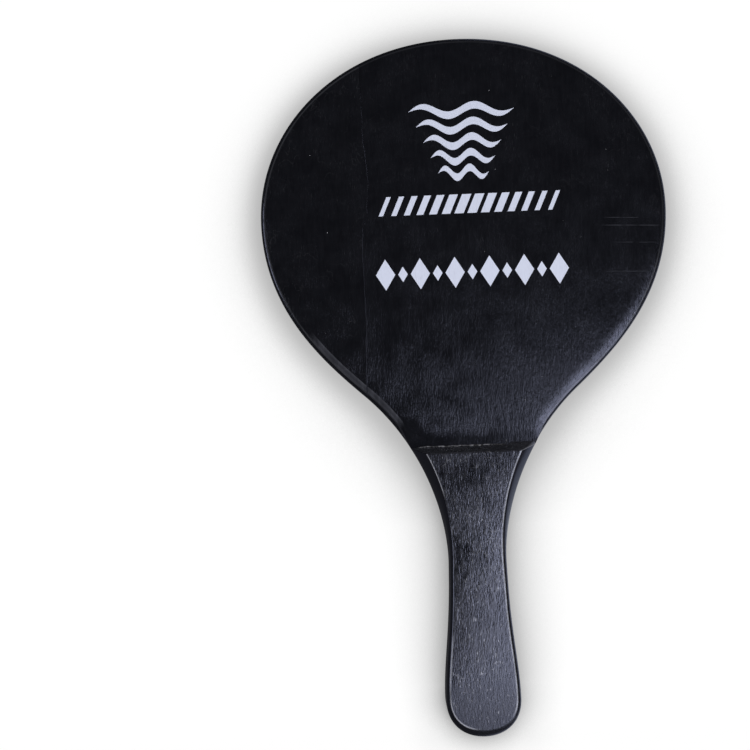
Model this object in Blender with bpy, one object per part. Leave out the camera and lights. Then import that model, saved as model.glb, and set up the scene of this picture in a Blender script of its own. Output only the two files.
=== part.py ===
"""Beach tennis racket: a five-ply wooden blank with a wooden scale glued on each side of its handle."""
import math

import bmesh
import bpy
import numpy as np
from mathutils import Vector

# Lengths along the racket, each one from where the one before it ends
BUTT_LENGTH = 0.0200        # butt end to the widest line of the grip
GRIP_LENGTH = 0.0752        # on to the waist of the handle
NECK_LENGTH = 0.0940        # on to the steepest line of the flare
FLARE_LENGTH = 0.0980       # on to the widest line of the blade
CROWN_LENGTH = 0.0978       # on to the tip
SCALE_LENGTH = 0.1597       # butt end to the foot of the scales' end slope

# Widths across the racket
GRIP_WIDTH = 0.0412
WAIST_WIDTH = 0.0316
FLARE_WIDTH = 0.1172
BLADE_WIDTH = 0.2244
FLARE_ANGLE = math.radians(48.0)    # outline's direction at the flare's line, off the axis
SEAM_OFFSET = 0.0570                # joint between the front veneer's strips, left of the axis

# Thicknesses
CORE_THICKNESS = 0.0016
CROSSBAND_THICKNESS = 0.0014
VENEER_THICKNESS = 0.0007
SCALE_THICKNESS = 0.0077
GLUE_GAP = 0.0003           # between any two pieces that are glued together

# Edges
EDGE_BULGE = 0.0020         # how far the blade's rounded edge stands out past its faces
EDGE_FADE = 0.0140          # length over which that edge runs out above the scales
SIDE_RADIUS = 0.0034        # round-over along a scale's sides
SIDE_SWEEP = math.radians(60)
BUTT_SIDE_WIDTH = 0.0046    # a scale's round-over seen from above, in the middle of the butt end
BUTT_SIDE_REACH = 0.0400    # length along the outline over which it narrows from there
NECK_SIDE_WIDTH = 0.0060    # a scale's side seen from above, where it reaches the blade
NECK_SIDE_START = 0.0120    # the side starts to widen towards the neck this far before the waist
NECK_SIDE_CURVE = 1.3       # how hollow the side is there
END_SLOPE = 0.0035          # a scale's end slope seen from above

# Reach of the outline's curve handles before and after each knot, as shares of the stretch
HANDLE_REACH = {
    "butt": (0.00, 0.60),
    "grip": (0.60, 0.27),
    "waist": (0.47, 0.35),
    "flare": (0.38, 0.31),
    "widest": (0.48, 0.53),
    "tip": (0.60, 0.00),
}

# Points along each stretch of the half outline, from the butt to the tip
STRETCH_POINTS = (9, 10, 16, 14, 24)
FINE_POINTS = (60, 60, 60, 60, 60)
SCALE_POINTS = 46
SIDE_STEPS = 3
SHARP_ANGLE = math.radians(25)
WELD_DISTANCE = 1e-6

BLANK_HALF = CORE_THICKNESS / 2 + CROSSBAND_THICKNESS + VENEER_THICKNESS + 2 * GLUE_GAP
LENGTH = BUTT_LENGTH + GRIP_LENGTH + NECK_LENGTH + FLARE_LENGTH + CROWN_LENGTH


def outline_knots():
    """Half width, station and direction of the outline at each knot, going round the right half."""
    waist = BUTT_LENGTH + GRIP_LENGTH
    flare = waist + NECK_LENGTH
    widest = flare + FLARE_LENGTH
    across = math.pi / 2
    return {
        "butt": (0, 0, across),
        "grip": (GRIP_WIDTH / 2, BUTT_LENGTH, 0),
        "waist": (WAIST_WIDTH / 2, waist, 0),
        "flare": (FLARE_WIDTH / 2, flare, FLARE_ANGLE),
        "widest": (BLADE_WIDTH / 2, widest, 0),
        "tip": (0, LENGTH, -across),
    }


def half_outline(counts):
    """Right half of the racket's outline from butt to tip, with its inward normals."""
    points = []
    normals = []
    knots = outline_knots()
    names = list(knots)
    for name, following, count in zip(names, names[1:], counts):
        start = np.array(knots[name][:2])
        end = np.array(knots[following][:2])
        leaving = heading(knots[name][2])
        arriving = heading(knots[following][2])
        chord = end - start
        leave = start + leaving * abs(chord @ leaving) * HANDLE_REACH[name][1]
        arrive = end - arriving * abs(chord @ arriving) * HANDLE_REACH[following][0]
        last = following == names[-1]
        for t in np.linspace(0, 1, count + 1)[:count + last]:
            point = (1 - t) ** 3 * start + 3 * t * (1 - t) ** 2 * leave
            point += 3 * t * t * (1 - t) * arrive + t ** 3 * end
            along = (1 - t) ** 2 * (leave - start) + 2 * t * (1 - t) * (arrive - leave)
            along += t * t * (end - arrive)
            along /= np.linalg.norm(along)
            points.append(point)
            normals.append((-along[1], along[0]))
    return np.array(points), np.array(normals)


def heading(angle):
    """Unit direction at an angle off the racket's axis."""
    return np.array((math.sin(angle), math.cos(angle)))


def smooth_step(value):
    """Rises from 0 to 1 with level ends."""
    value = np.clip(value, 0, 1)
    return value * value * (3 - 2 * value)


def ply_half(height):
    """Half outline of the blank at a height from its middle, on the rounded edge."""
    bulge = min(EDGE_BULGE, BLANK_HALF)
    radius = (BLANK_HALF ** 2 + bulge ** 2) / (2 * bulge)
    inset = radius - math.sqrt(radius ** 2 - height ** 2)
    points, normals = half_outline(STRETCH_POINTS)
    grown = smooth_step((points[:, 1] - SCALE_LENGTH) / EDGE_FADE)
    return points + normals * (inset * grown)[:, None]


def run_along(points):
    steps = np.linalg.norm(np.diff(points, axis=0), axis=1)
    return np.concatenate(((0,), np.cumsum(steps)))


def scale_half(inset, rise):
    """Half outline of a scale at a height, where its round-over stands a given inset in from the side."""
    points, normals = half_outline(FINE_POINTS)
    share_up = rise / SCALE_THICKNESS
    widening = BUTT_SIDE_WIDTH / (SIDE_RADIUS * (1 - math.cos(SIDE_SWEEP))) - 1
    near_butt = 1 - smooth_step(run_along(points) / BUTT_SIDE_REACH)
    start = BUTT_LENGTH + GRIP_LENGTH - NECK_SIDE_START
    near_neck = smooth_step((points[:, 1] - start) / (SCALE_LENGTH - start))
    grip_inset = inset * (1 + widening * near_butt)
    neck_inset = NECK_SIDE_WIDTH * share_up ** NECK_SIDE_CURVE
    mixed = grip_inset + (neck_inset - grip_inset) * near_neck
    moved = points + normals * mixed[:, None]
    run = run_along(moved)
    end = np.interp(SCALE_LENGTH - END_SLOPE * share_up, moved[:, 1], run)
    stations = np.linspace(0, end, SCALE_POINTS)
    return np.column_stack((np.interp(stations, run, moved[:, 0]), np.interp(stations, run, moved[:, 1])))


def stacked_body(rings):
    """Closed body through half outlines at rising heights, each mirrored across the axis."""
    body = bmesh.new()
    rungs = []
    for half, height in rings:
        ring = []
        for across, along in half:
            right = body.verts.new((across, along, height))
            on_axis = across < WELD_DISTANCE
            left = right if on_axis else body.verts.new((-across, along, height))
            ring.append((left, right))
        rungs.append(ring)
    for lower, upper in zip(rungs, rungs[1:]):
        around_lower = around(lower)
        around_upper = around(upper)
        for index, vertex in enumerate(around_lower):
            before = index - 1
            body.faces.new((around_lower[before], vertex, around_upper[index], around_upper[before]))
    for ring in (rungs[0], rungs[-1]):
        for (left, right), (next_left, next_right) in zip(ring, ring[1:]):
            corners = dict.fromkeys((left, right, next_right, next_left))
            body.faces.new(tuple(corners))
    bmesh.ops.recalc_face_normals(body, faces=body.faces)
    return body


def around(ring):
    """A ring's vertices in order round the body, up its right side and down its left."""
    rights = [right for left, right in ring]
    lefts = [left for left, right in reversed(ring) if left not in rights]
    return rights + lefts


def veneer_strip(body, edge, side):
    """Keeps the part of a body on one side of a joint, and closes it there."""
    cut = bmesh.ops.bisect_plane(
        body, geom=body.verts[:] + body.edges[:] + body.faces[:], dist=WELD_DISTANCE,
        plane_co=(edge, 0, 0), plane_no=(-side, 0, 0), clear_outer=True)
    cut_edges = [part for part in cut["geom_cut"] if isinstance(part, bmesh.types.BMEdge)]
    bmesh.ops.edgeloop_fill(body, edges=cut_edges)
    bmesh.ops.recalc_face_normals(body, faces=body.faces)
    return body


def ply_body(bottom, top, between=()):
    """One ply of the blank, from and to a height from the blank's middle."""
    return stacked_body([(ply_half(height), height) for height in (bottom, *between, top)])


def core_body():
    half = CORE_THICKNESS / 2
    return ply_body(-half, half, (0,))


def crossband_body():
    bottom = CORE_THICKNESS / 2 + GLUE_GAP
    return ply_body(bottom, bottom + CROSSBAND_THICKNESS)


def veneer_body():
    return ply_body(BLANK_HALF - VENEER_THICKNESS, BLANK_HALF)


def scale_body():
    """A scale on the blank's face: straight sides, a round-over, a flat face and an end slope."""
    bottom = BLANK_HALF + GLUE_GAP
    wall_top = SCALE_THICKNESS - SIDE_RADIUS * math.sin(SIDE_SWEEP)
    profile = [(0, 0), (0, wall_top / 2)]
    for step in range(SIDE_STEPS + 1):
        angle = SIDE_SWEEP * step / SIDE_STEPS
        profile.append((SIDE_RADIUS * (1 - math.cos(angle)), wall_top + SIDE_RADIUS * math.sin(angle)))
    return stacked_body([(scale_half(inset, rise), bottom + rise) for inset, rise in profile])


def lacquered(name, colour, roughness):
    """Wood under black lacquer."""
    material = bpy.data.materials.new(name)
    material.use_nodes = True
    surface = material.node_tree.nodes["Principled BSDF"]
    surface.inputs["Base Color"].default_value = (*colour, 1)
    surface.inputs["Roughness"].default_value = roughness
    surface.inputs["Metallic"].default_value = 0
    material.diffuse_color = (*colour, 1)
    return material


def add_piece(name, body, racket, turned, colour, roughness):
    """One wooden piece, turned over about the racket's axis where it lies on the back."""
    mesh = bpy.data.meshes.new(name)
    body.to_mesh(mesh)
    body.free()
    mesh.shade_smooth()
    mesh.set_sharp_from_angle(angle=SHARP_ANGLE)
    mesh.materials.append(lacquered(name + "_lacquer", colour, roughness))
    piece = bpy.data.objects.new(name, mesh)
    piece.parent = racket
    if turned:
        piece.rotation_euler.y = math.pi
    bpy.context.collection.objects.link(piece)
    return piece


def build_racket():
    racket = bpy.data.objects.new("racket_axis", None)
    middle = SCALE_THICKNESS + GLUE_GAP + BLANK_HALF
    racket.location = Vector((0, -LENGTH / 2, middle))
    bpy.context.collection.objects.link(racket)

    face_black = (0.010, 0.010, 0.013)
    edge_black = (0.016, 0.016, 0.019)
    grip_black = (0.022, 0.022, 0.027)
    add_piece("core_ply", core_body(), racket, False, edge_black, 0.45)
    add_piece("crossband_front", crossband_body(), racket, False, edge_black, 0.45)
    add_piece("crossband_back", crossband_body(), racket, True, edge_black, 0.45)
    left_strip = veneer_strip(veneer_body(), -SEAM_OFFSET - GLUE_GAP / 2, -1)
    right_strip = veneer_strip(veneer_body(), -SEAM_OFFSET + GLUE_GAP / 2, 1)
    add_piece("face_veneer_front_left", left_strip, racket, False, face_black, 0.38)
    add_piece("face_veneer_front_right", right_strip, racket, False, face_black, 0.38)
    add_piece("face_veneer_back", veneer_body(), racket, True, face_black, 0.38)
    add_piece("handle_scale_front", scale_body(), racket, False, grip_black, 0.42)
    add_piece("handle_scale_back", scale_body(), racket, True, grip_black, 0.42)


for old in list(bpy.data.objects):
    bpy.data.objects.remove(old)
build_racket()
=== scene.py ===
import math
from functools import partial

import bmesh
import bpy
import numpy as np
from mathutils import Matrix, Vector


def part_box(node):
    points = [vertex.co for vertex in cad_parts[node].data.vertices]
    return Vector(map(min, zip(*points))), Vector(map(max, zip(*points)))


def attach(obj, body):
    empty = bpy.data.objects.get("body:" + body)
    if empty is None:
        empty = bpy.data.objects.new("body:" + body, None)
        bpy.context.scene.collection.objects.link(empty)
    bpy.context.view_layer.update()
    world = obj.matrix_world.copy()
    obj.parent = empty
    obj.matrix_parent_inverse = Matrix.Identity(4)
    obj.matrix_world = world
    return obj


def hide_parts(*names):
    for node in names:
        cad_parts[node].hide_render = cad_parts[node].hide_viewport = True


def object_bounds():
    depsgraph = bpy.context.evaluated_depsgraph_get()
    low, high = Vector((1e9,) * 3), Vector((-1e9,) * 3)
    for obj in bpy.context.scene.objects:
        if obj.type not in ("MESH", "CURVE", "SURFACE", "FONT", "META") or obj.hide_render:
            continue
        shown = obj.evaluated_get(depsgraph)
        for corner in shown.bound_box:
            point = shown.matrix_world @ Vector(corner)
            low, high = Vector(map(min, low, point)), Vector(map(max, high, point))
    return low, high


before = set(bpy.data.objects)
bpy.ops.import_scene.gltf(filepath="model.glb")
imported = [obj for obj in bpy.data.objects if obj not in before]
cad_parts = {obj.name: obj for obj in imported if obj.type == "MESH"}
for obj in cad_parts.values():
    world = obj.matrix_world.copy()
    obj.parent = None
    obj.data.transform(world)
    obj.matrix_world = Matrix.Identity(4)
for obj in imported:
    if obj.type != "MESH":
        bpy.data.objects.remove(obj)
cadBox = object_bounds()
mm = 0.001
print("frame loaded:", sorted(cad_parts))


# Outline of the racket, from the butt end up to the tip
racket = {
    "length": cadBox[1][1] - cadBox[0][1],
    "bladeWidth": cadBox[1][0] - cadBox[0][0],
    "buttToGrip": 20.0 * mm,
    "gripToWaist": 75.2 * mm,
    "waistToFlare": 94.0 * mm,
    "flareToWidest": 98.0 * mm,
    "gripWidth": 41.2 * mm,
    "waistWidth": 31.6 * mm,
    "flareWidth": 117.2 * mm,
    "flareAngle": math.radians(48.0),  # off the racket's axis
    "spacing": 0.8 * mm,  # between points of the outline
    "curveSteps": 600,  # traced between two knots
}
buttY = cadBox[0][1]
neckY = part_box("handle_scale_front")[1][1]
waistY = buttY + racket["buttToGrip"] + racket["gripToWaist"]


def outlineKnots():
    # Half width, way up from the butt, direction off the axis, and the curve handles before and after the
    # knot, as shares of the stretch
    waist = racket["buttToGrip"] + racket["gripToWaist"]
    flare = waist + racket["waistToFlare"]
    return (
        (0, 0, math.pi / 2, 0.00, 0.60),
        (racket["gripWidth"] / 2, racket["buttToGrip"], 0, 0.60, 0.27),
        (racket["waistWidth"] / 2, waist, 0, 0.47, 0.35),
        (racket["flareWidth"] / 2, flare, racket["flareAngle"], 0.38, 0.31),
        (racket["bladeWidth"] / 2, flare + racket["flareToWidest"], 0, 0.48, 0.53),
        (0, racket["length"], -math.pi / 2, 0.60, 0.00),
    )


def traceOutline():
    points = [(0, 0)]
    knots = outlineKnots()
    t = np.linspace(0, 1, racket["curveSteps"])[1:, None]
    for (*start, turn, _, reach), (*end, nextTurn, nextReach, _) in zip(knots, knots[1:]):
        start, end = np.array((start, end))
        leaving = np.array((math.sin(turn), math.cos(turn)))
        arriving = np.array((math.sin(nextTurn), math.cos(nextTurn)))
        leave = start + leaving * abs((end - start) @ leaving) * reach
        arrive = end - arriving * abs((end - start) @ arriving) * nextReach
        stretch = (1 - t) ** 3 * start + 3 * t * (1 - t) ** 2 * leave
        points.extend(stretch + 3 * t * t * (1 - t) * arrive + t ** 3 * end)
    points = np.array(points)
    run = runAlong(points)
    count = round(run[-1] / racket["spacing"]) + 1
    even = resample(points, run, np.linspace(0, run[-1], count))
    along = np.gradient(even, axis=0)
    along[0] = (1, 0)
    along[-1] = (-1, 0)
    along /= np.linalg.norm(along, axis=1)[:, None]
    even[:, 1] += buttY
    return even, np.column_stack((-along[:, 1], along[:, 0]))  # points, and directions inward


def runAlong(points):
    steps = np.linalg.norm(np.diff(points, axis=0), axis=1)
    return np.concatenate(((0,), np.cumsum(steps)))


def resample(points, run, stations):
    return np.column_stack([np.interp(stations, run, points[:, axis]) for axis in (0, 1)])


def easeIn(value):
    value = np.clip(value, 0, 1)
    return value * value * (3 - 2 * value)


def between(y, low, high, fadeIn, fadeOut):
    return easeIn((y - low) / fadeIn) * easeIn((high - y) / fadeOut)


def curveInset(curve, rise):
    # Straight wall, wide arc, and the small rounding of the arris
    wall, high, big, small, sweep = curve
    if rise <= wall + big * math.sin(sweep):
        return big - math.sqrt(big ** 2 - max(0, rise - wall) ** 2)
    centre = big - (big - small) * math.cos(sweep)
    return centre - math.sqrt(max(0, small ** 2 - (rise - high + small) ** 2))


def curveHeights(curve, onBig, onSmall):
    wall, high, big, small, sweep = curve
    return np.concatenate((wall + big * np.sin(np.linspace(0, sweep, onBig)),
                           high - small + small * np.sin(np.linspace(sweep, math.pi / 2, onSmall))))


def unevenLine(run, seed, amount, shortest=14 * mm, longest=70 * mm):
    # A hand-sanded edge wanders a little: a few long waves with seeded phases
    chance = np.random.default_rng(seed)
    line = np.zeros(len(run))
    for wave in np.geomspace(shortest, longest, 5):
        line += chance.uniform(0.4, 1) * np.sin(2 * math.pi * run / wave + chance.uniform(0, 6.28))
    return amount * line / 2.5


# Meshes and pieces
def newObject(name, data):
    item = bpy.data.objects.new(name, data)
    bpy.context.collection.objects.link(item)
    return item


def cleanMesh(name, vertices, faces, marks):
    mesh = bpy.data.meshes.new(name)
    mesh.from_pydata(vertices, [], faces)
    for mark, values in marks.items():
        mesh.attributes.new(mark, "FLOAT", "POINT").data.foreach_set("value", values)
    body = bmesh.new()
    body.from_mesh(mesh)
    bmesh.ops.remove_doubles(body, verts=body.verts, dist=1e-7)
    bmesh.ops.recalc_face_normals(body, faces=body.faces)
    body.to_mesh(mesh)
    body.free()
    return mesh


def skin(loops):
    faces = []
    for lower, upper in zip(loops, loops[1:]):
        for index in range(len(lower)):
            faces.append((lower[index - 1], lower[index], upper[index], upper[index - 1]))
    return faces


def loftRings(name, rings):
    # Each ring is a right side, an end line and a left side, with the rule for its height, and its marks
    # for the materials: each has its value or values on the right, on the end line and on the left
    vertices, loops = [], []
    marks = {"arris": [], "side": [], "paintedLight": []}
    for right, endLine, left, level, given in rings:
        order = np.concatenate((right, endLine, left[::-1]))
        loops.append(range(len(vertices), len(vertices) + len(order)))
        vertices.extend((x, y, z) for (x, y), z in zip(order, level(order)))
        for mark, values in marks.items():
            onRight, onEnd, onLeft = given[mark]
            values.extend(np.broadcast_to(onRight, len(right)))
            values.extend(np.broadcast_to(onEnd, len(endLine)))
            values.extend(np.broadcast_to(onLeft, len(left))[::-1])
    faces = skin(loops)
    last = len(rings[0][0]) - 2
    for loop, direction in ((loops[0], -1), (loops[-1], 1)):
        for index in range(last + 1):
            far = (loop[index + 1], loop[-2 - index])
            if index == last:  # with the end line
                far = loop[index + 1:len(loop) - 1 - index]
            faces.append((loop[-1 - index], loop[index], *far)[::direction])
    return cleanMesh(name, vertices, faces, marks)


def finishPiece(name, mesh, material, slot, *nodes, sharpest=34):
    mesh.materials.clear()
    mesh.materials.append(material)
    mesh.shade_smooth()
    mesh.set_sharp_from_angle(angle=math.radians(sharpest))
    piece = newObject(name, mesh)
    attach(piece, "root")
    if nodes:
        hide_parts(*nodes)


def evaluatedMesh(item):
    bpy.context.view_layer.update()
    graph = bpy.context.evaluated_depsgraph_get()
    return bpy.data.meshes.new_from_object(item.evaluated_get(graph))


# Nodes. A node goes into the tree that its first linked value is in
def feed(node, values):
    for socket, value in values.items():
        if isinstance(value, bpy.types.NodeSocket):
            node.id_data.links.new(value, node.inputs[socket])
        else:
            node.inputs[socket].default_value = value


def addNode(tree, kind, values=None, output=0, **settings):
    node = tree.nodes.new(kind)
    for key, value in settings.items():
        setattr(node, key, value)
    feed(node, values or {})
    return node.outputs[output]


def treeOf(*values):
    return next(value.id_data for value in values if isinstance(value, bpy.types.NodeSocket))


def calc(operation, first, second=0.0, clamp=False):
    return addNode(treeOf(first, second), "ShaderNodeMath", {0: first, 1: second},
                   operation=operation, use_clamp=clamp)


times, over, plus, minus, larger, unsigned = (partial(calc, operation) for operation in (
    "MULTIPLY", "DIVIDE", "ADD", "SUBTRACT", "MAXIMUM", "ABSOLUTE"))


def spread(value, low, high, toLow=0.0, toHigh=1.0):
    return addNode(treeOf(value), "ShaderNodeMapRange", {
        "Value": value, "From Min": low, "From Max": high, "To Min": toLow, "To Max": toHigh})


def vectorMath(operation, first, second):
    return addNode(treeOf(first, second), "ShaderNodeVectorMath", {0: first, 1: second}, operation=operation)


def splitXYZ(vector):
    return addNode(treeOf(vector), "ShaderNodeSeparateXYZ", {0: vector}).node.outputs


def joinXYZ(x=0.0, y=0.0, z=0.0):
    return addNode(treeOf(x, y, z), "ShaderNodeCombineXYZ", {0: x, 1: y, 2: z})


def addNoise(vector, scale, detail=2.0, seed=None, roughness=0.5, distortion=0.0):
    values = {"Vector": vector, "Scale": scale, "Detail": detail, "Roughness": roughness,
              "Distortion": distortion}
    if seed is not None:
        values["W"] = seed
    return addNode(treeOf(vector), "ShaderNodeTexNoise", values,
                   noise_dimensions="3D" if seed is None else "4D")


def mixColours(share, first, second):
    return addNode(treeOf(share), "ShaderNodeMix", {"Factor": share, "A": first, "B": second}, "Result",
                   data_type="RGBA")


# Shader groups that several finishes share
grainDetail = {  # scales of the noises, and the values at which each detail starts and is full
    "fibreRoughness": 0.6,
    "streakScale": 0.3,  # against the fibres
    "speckScale": 0.9,
    "patchScale": 60.0,
    "cloudScale": 210.0,
    "curlScale": 150.0,
    "curlBend": 0.6,
    "fewScale": 55.0,  # few of the curls are shown
    "flecks": (0.54, 0.68),
    "fleckPatches": (0.38, 0.62),
    "specks": (0.64, 0.74),
    "speckPatches": (0.35, 0.60),
    "haze": (1.2, 1.8),
    "curls": (0.022, 0.004),
    "curlFibres": (0.40, 0.60),
    "few": (0.50, 0.62),
}
wearAndHighlight = {  # of the arrises, where the lacquer is worn and a highlight is painted
    "handleY": 99 * mm,  # the middle of the handle's arrises, down from the origin
    "handleHalf": (34 * mm, 42 * mm),
    "left": (0.54, 0.25),  # the left side is rubbed, with its painted highlight, in fewer places, mostly near its ends
    "right": 0.20,
    "across": (-12 * mm, 12 * mm),
    "soft": 0.25,
    "detail": 4.0,
    "roughness": 0.65,
}
scratchDetail = {"fading": (1.0, 0.5), "skipScale": 180.0, "skips": (0.30, 0.55)}


def newGroup(name, inputs, outputs):
    # Every group also takes the place on the racket
    group = bpy.data.node_groups.new(name, "ShaderNodeTree")
    for label, value in {"Vector": (0, 0, 0), **inputs}.items():
        kind = "NodeSocketFloat" if isinstance(value, float) else "NodeSocketVector"
        group.interface.new_socket(label, in_out="INPUT", socket_type=kind).default_value = value
    for label in outputs:
        group.interface.new_socket(label, in_out="OUTPUT", socket_type="NodeSocketFloat")
    return group, group.nodes.new("NodeGroupInput").outputs, group.nodes.new("NodeGroupOutput")


def useGroup(group, vector, values):
    values = {"Vector": vector, **values}
    return addNode(treeOf(vector), "ShaderNodeGroup", values, node_tree=group).node.outputs


def makeGrainGroup():
    group, given, out = newGroup("lacqueredGrain", {
        "Fibre Width": 0.0005, "Fibre Length": 0.006, "Fineness": 2.5, "Seed": 0.0},
        ("Fibres", "Flecks", "Streaks", "Specks", "Patches", "Haze", "Scuffs"))
    detail = grainDetail
    vector = given["Vector"]
    seed = given["Seed"]
    across = over(1.0, given["Fibre Width"])
    fine = vectorMath("MULTIPLY", vector, joinXYZ(across, over(1.0, given["Fibre Length"]), across))
    coarse = vectorMath("MULTIPLY", fine, (detail["streakScale"],) * 3)
    dots = vectorMath("MULTIPLY", fine, (detail["speckScale"],) * 3)
    fibres = addNoise(fine, 1.0, given["Fineness"], seed, detail["fibreRoughness"])
    streaks = addNoise(coarse, 1.0, 2.0, seed)
    patches = addNoise(vector, detail["patchScale"], 2.0, seed)
    flecks = times(spread(fibres, *detail["flecks"]), spread(patches, *detail["fleckPatches"]))
    specks = times(spread(addNoise(dots, 1.0, 1.0, seed), *detail["specks"]),
                   spread(patches, *detail["speckPatches"]))
    haze = plus(streaks, plus(addNoise(vector, detail["cloudScale"], 2.0, seed), patches))
    curls = addNoise(vector, detail["curlScale"], 1.5, seed, distortion=detail["curlBend"])
    curls = unsigned(minus(curls, 0.5))  # thin lines where the noise is halfway
    curls = times(spread(curls, *detail["curls"]), spread(fibres, *detail["curlFibres"]))
    few = addNoise(vector, detail["fewScale"], 1.0, plus(seed, 3.0))
    feed(out, {"Fibres": fibres, "Flecks": flecks, "Streaks": streaks, "Specks": specks, "Patches": patches,
               "Haze": spread(haze, *detail["haze"]), "Scuffs": times(curls, spread(few, *detail["few"]))})
    return group


def makeRubAndHighlightGroup():
    # Lacquer worn off along the arrises, which also paints their highlight, broken up by noise
    group, given, out = newGroup("rubbedAndHighlitArris", {"Arris": 0.0, "Grain Size": 0.018, "Amount": 0.5}, ("Mask",))
    breaks = addNoise(given["Vector"], over(1.0, given["Grain Size"]), wearAndHighlight["detail"],
                      roughness=wearAndHighlight["roughness"])
    place = splitXYZ(given["Vector"])
    ends = unsigned(plus(place["Y"], wearAndHighlight["handleY"]))
    low = spread(place["X"], *wearAndHighlight["across"], spread(ends, *wearAndHighlight["handleHalf"], *wearAndHighlight["left"]), wearAndHighlight["right"])
    wornAndHighlit = times(given["Arris"], spread(breaks, low, plus(low, wearAndHighlight["soft"])))
    feed(out, {"Mask": times(wornAndHighlit, given["Amount"], True)})
    return group


def makeScratchGroup():
    # One straight scratch, thinning out towards its ends
    group, given, out = newGroup("straightScratch", {
        "Middle": (0, 0, 0), "Half Length": 0.02, "Half Width": 0.0002, "Slope": 0.0},
        ("Mask",))
    place = splitXYZ(vectorMath("SUBTRACT", given["Vector"], given["Middle"]))
    away = unsigned(minus(place["Y"], times(place["X"], given["Slope"])))
    line = minus(1.0, over(away, given["Half Width"]), True)
    ends = spread(over(unsigned(place["X"]), given["Half Length"]), *scratchDetail["fading"])
    skips = spread(addNoise(given["Vector"], scratchDetail["skipScale"]), *scratchDetail["skips"])
    feed(out, {"Mask": times(times(line, ends), skips)})
    return group


grainGroup = makeGrainGroup()
rubAndHighlightGroup = makeRubAndHighlightGroup()
scratchGroup = makeScratchGroup()
print("shader groups built")


# Finishes
lacquer = {
    "black": (0.0022, 0.0022, 0.0027, 1),
    # Paler lacquer for flecks and scratches, also painted as light on the end slope and the left rim
    "rubbedAndLit": (0.16, 0.165, 0.20, 1),
    "wornAndHighlit": (0.26, 0.265, 0.30, 1),  # along the arrises, worn lacquer that also paints their highlight
    "tint": (0.66, 0.71, 1.0, 1),  # its reflections are bluish
    "paintedLight": (0.182, 0.312),  # share of the paler colour painted as light on the scale's end slope, and as a painted reflection along the blade's left rim near the neck
    "paintedLightStreaks": (0.35, 0.65),
    "scratched": 0.30,
    "patches": (0.35, 0.65),  # from thick lacquer to thin
    "thinRelief": 0.3,  # the grain shows this much more there, as a share of patchy
    "streakRelief": 0.8,
    "evenRelief": 0.9,  # centres the relief, so that fading it leaves no step
    "sideRelief": 0.08,  # the rounded sides are filled and smooth
    "patchGloss": (-0.02, 0.04),
    "streakGloss": (0.25, 0.75, -0.02, 0.03),
}
# A finish's rubbing lays worn lacquer along its arrises, which also paints their highlight
finishes = {
    "blade": {
        "roughness": 0.15, "gloss": 0.62, "width": 0.50 * mm, "length": 3.2 * mm, "fineness": 1.8,
        "seed": 1.0, "relief": 0.14 * mm, "patchy": 0.5, "flecks": 0.05, "specks": 0.05, "haze": 0.016,
        "scuffs": 0.02, "rubbingAndHighlight": 0.05},
    "edge": {
        "roughness": 0.20, "gloss": 0.62, "width": 0.40 * mm, "length": 2.0 * mm, "fineness": 2.0,
        "seed": 2.0, "relief": 0.03 * mm, "patchy": 0.5, "flecks": 0.02, "specks": 0.0, "haze": 0.01,
        "scuffs": 0.0, "rubbingAndHighlight": 0.04},
    # The handle's flecks and specks are partly pale grain and partly painted glints
    "frontScale": {
        "roughness": 0.143, "gloss": 0.74, "width": 0.64 * mm, "length": 2.7 * mm, "fineness": 1.4,
        "seed": 7.0, "relief": 0.13 * mm, "patchy": 0.30, "flecks": 0.45, "specks": 1.00, "haze": 0.20,
        "scuffs": 0.50, "rubbingAndHighlight": 0.95},
}
finishes["bladeLeft"] = dict(finishes["blade"], seed=9.0, roughness=0.14, gloss=0.60, relief=0.11 * mm,
                             scuffs=0.05, rubbingAndHighlight=0.10)
finishes["bladeBack"] = dict(finishes["blade"], seed=4.0)
finishes["backScale"] = dict(finishes["frontScale"], seed=12.0)
handleMiddle = {  # the grain shows more, with lighter flecks, along the middle of the handle than at its butt and neck
    "fromButt": (4 * mm, 90 * mm),
    "fromNeck": (4 * mm, 50 * mm),
    "relief": (0.75, 1.0),
    "light": (0.35, 1.0),
    "buttGloss": (36 * mm, 2 * mm, 0.0, 0.20),  # the butt is duller still
}
band = {  # thicker lacquer fills the grain along the foot of the scale
    "height": 8.5 * mm,
    "wider": 8 * mm,  # on the left
    "left": (-31 * mm, -25 * mm),
    "blurScale": 90.0,
    "blur": 7 * mm,
    "soft": 5 * mm,
    "relief": 0.3,
    "gloss": 0.85,
}
scratches = {  # x and y of the middle, half length and half width, all in mm, and slope
    "blade": [(89.0, 89.7, 13, 0.20, -0.041), (92.5, 85.3, 19, 0.28, -0.041), (94.8, 75.8, 14, 0.16, -0.041),
              (88.8, 60.0, 15, 0.18, -0.041)],
    "bladeBack": [(-40, 70, 14, 0.2, 0.3)],
    "frontScale": [(-4.2, -59.1, 1.5, 0.40, 1.0), (-13.4, -59.0, 4.5, 0.14, -0.04)],
}


def startMaterial(name):
    material = bpy.data.materials.new(name)
    material.use_nodes = True
    tree = material.node_tree
    return material, tree, tree.nodes["Principled BSDF"], addNode(tree, "ShaderNodeTexCoord", output="Object")


def readMark(tree, mark):
    return addNode(tree, "ShaderNodeAttribute", output="Fac", attribute_name=mark)


def addBump(height, distance, strength=1.0):
    return addNode(treeOf(height), "ShaderNodeBump", {
        "Height": height, "Distance": distance, "Strength": strength})


def handleMasks(y):
    # How far along the handle's middle the grain and flecks reach, and the duller butt
    low, high = handleMiddle["fromButt"]
    below, farBelow = handleMiddle["fromNeck"]
    reached = times(spread(y, buttY + low, buttY + high), spread(y, neckY - below, neckY - farBelow))
    high, low, least, most = handleMiddle["buttGloss"]
    return reached, spread(y, buttY + high, buttY + low, least, most)


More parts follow.
